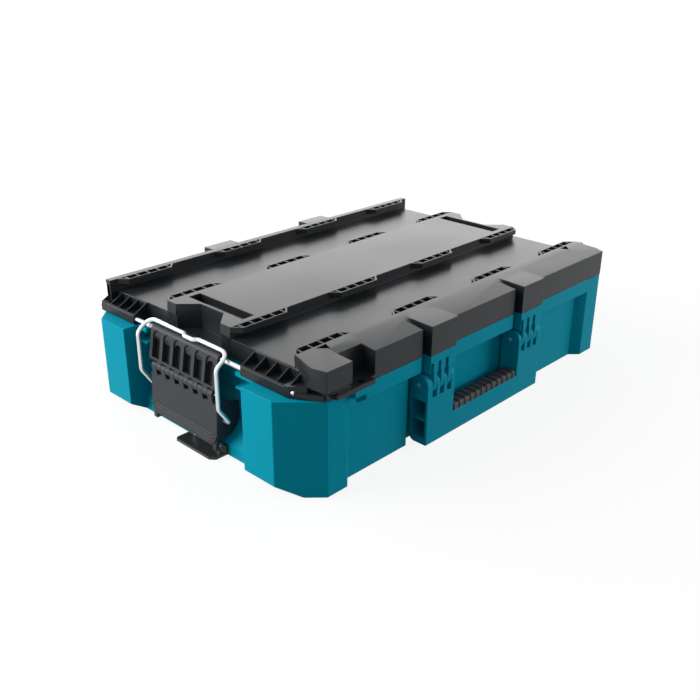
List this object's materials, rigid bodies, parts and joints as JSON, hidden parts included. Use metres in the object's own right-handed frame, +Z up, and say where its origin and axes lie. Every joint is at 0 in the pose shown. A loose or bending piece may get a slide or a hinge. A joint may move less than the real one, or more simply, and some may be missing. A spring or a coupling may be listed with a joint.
{
  "type": "hard tool case",
  "caption": "Stackable hard tool case with a hinged lid, a folding front handle and a wire-bail latch on each short end.",
  "frame": {"origin": "centre of the case's footprint, on the plane that it stands on", "axes": "+X along the long side, with -X the latch end that the picture shows; -Y the handle side; +Z up"},
  "size_m": [0.562, 0.368, 0.1375],
  "materials": {
    "teal_shell": "moulded plastic with a fine satin grain",
    "grey_shell": "moulded plastic with a fine satin grain",
    "black_rubber": "soft matt rubber",
    "black_metal": "black powder coat",
    "bright_steel": "bright zinc-plated wire and rod"
  },
  "bodies": {
    "base": {"base_shell": "teal_shell", "hinge_pins": "bright_steel", "handle_pins": "bright_steel", "foot_catch_left": "black_metal", "foot_catch_right": "black_metal", "foot_screws_left": "bright_steel", "foot_screws_right": "bright_steel", "padlock_tab": "teal_shell", "corner_posts": "teal_shell", "end_sills": "teal_shell", "end_shelves": "teal_shell", "rim_bands": "teal_shell", "handle_bosses": "teal_shell", "hinge_knuckles": "teal_shell"},
    "lid": {"lid_shell": "grey_shell", "lid_seal": "black_rubber", "catch_rod_left": "bright_steel", "catch_rod_right": "bright_steel", "padlock_lip": "grey_shell", "hinge_leaves": "grey_shell", "back_skirt": "grey_shell", "lid_corner": "grey_shell", "deck_ends": "grey_shell"},
    "handle": {"handle_frame": "teal_shell", "handle_grip": "black_rubber"},
    "plate_left": {"latch_plate_left": "grey_shell", "knuckle_pin_left": "bright_steel"},
    "paddle_left": {"latch_paddle_left": "grey_shell"},
    "bail_left": {"bail_left": "bright_steel"},
    "plate_right": {"latch_plate_right": "grey_shell", "knuckle_pin_right": "bright_steel"},
    "paddle_right": {"latch_paddle_right": "grey_shell"},
    "bail_right": {"bail_right": "bright_steel"}
  },
  "joints": [
    {"name": "lid_hinge", "type": "hinge", "parent": "base", "child": "lid", "pos_m": [0, 0.178, 0.095], "axis": [-1, 0, 0], "range_deg": [0, 105]},
    {"name": "handle_fold", "type": "hinge", "parent": "base", "child": "handle", "pos_m": [0, -0.1717, 0.0685], "axis": [-1, 0, 0], "range_deg": [0, 90]},
    {"name": "plate_swing_left", "type": "hinge", "parent": "lid", "child": "plate_left", "pos_m": [-0.261, 0.0095, 0.1095], "axis": [0, 1, 0], "range_deg": [0, 70]},
    {"name": "paddle_pull_left", "type": "hinge", "parent": "plate_left", "child": "paddle_left", "pos_m": [-0.26799, 0.0095, 0.07103], "axis": [0, 1, 0], "range_deg": [0, 120]},
    {"name": "bail_swing_left", "type": "hinge", "parent": "paddle_left", "child": "bail_left", "pos_m": [-0.2625, 0.0095, 0.04153], "axis": [0, 1, 0], "range_deg": [-120, 0]},
    {"name": "plate_swing_right", "type": "hinge", "parent": "lid", "child": "plate_right", "pos_m": [0.261, 0.0095, 0.1095], "axis": [0, -1, 0], "range_deg": [0, 70]},
    {"name": "paddle_pull_right", "type": "hinge", "parent": "plate_right", "child": "paddle_right", "pos_m": [0.26799, 0.0095, 0.07103], "axis": [0, -1, 0], "range_deg": [0, 120]},
    {"name": "bail_swing_right", "type": "hinge", "parent": "paddle_right", "child": "bail_right", "pos_m": [0.2625, 0.0095, 0.04153], "axis": [0, -1, 0], "range_deg": [-120, 0]}
  ],
  "couplings": [
    {"joint": "bail_swing_left", "follows": "paddle_pull_left", "ratio": -1},
    {"joint": "bail_swing_right", "follows": "paddle_pull_right", "ratio": -1}
  ]
}
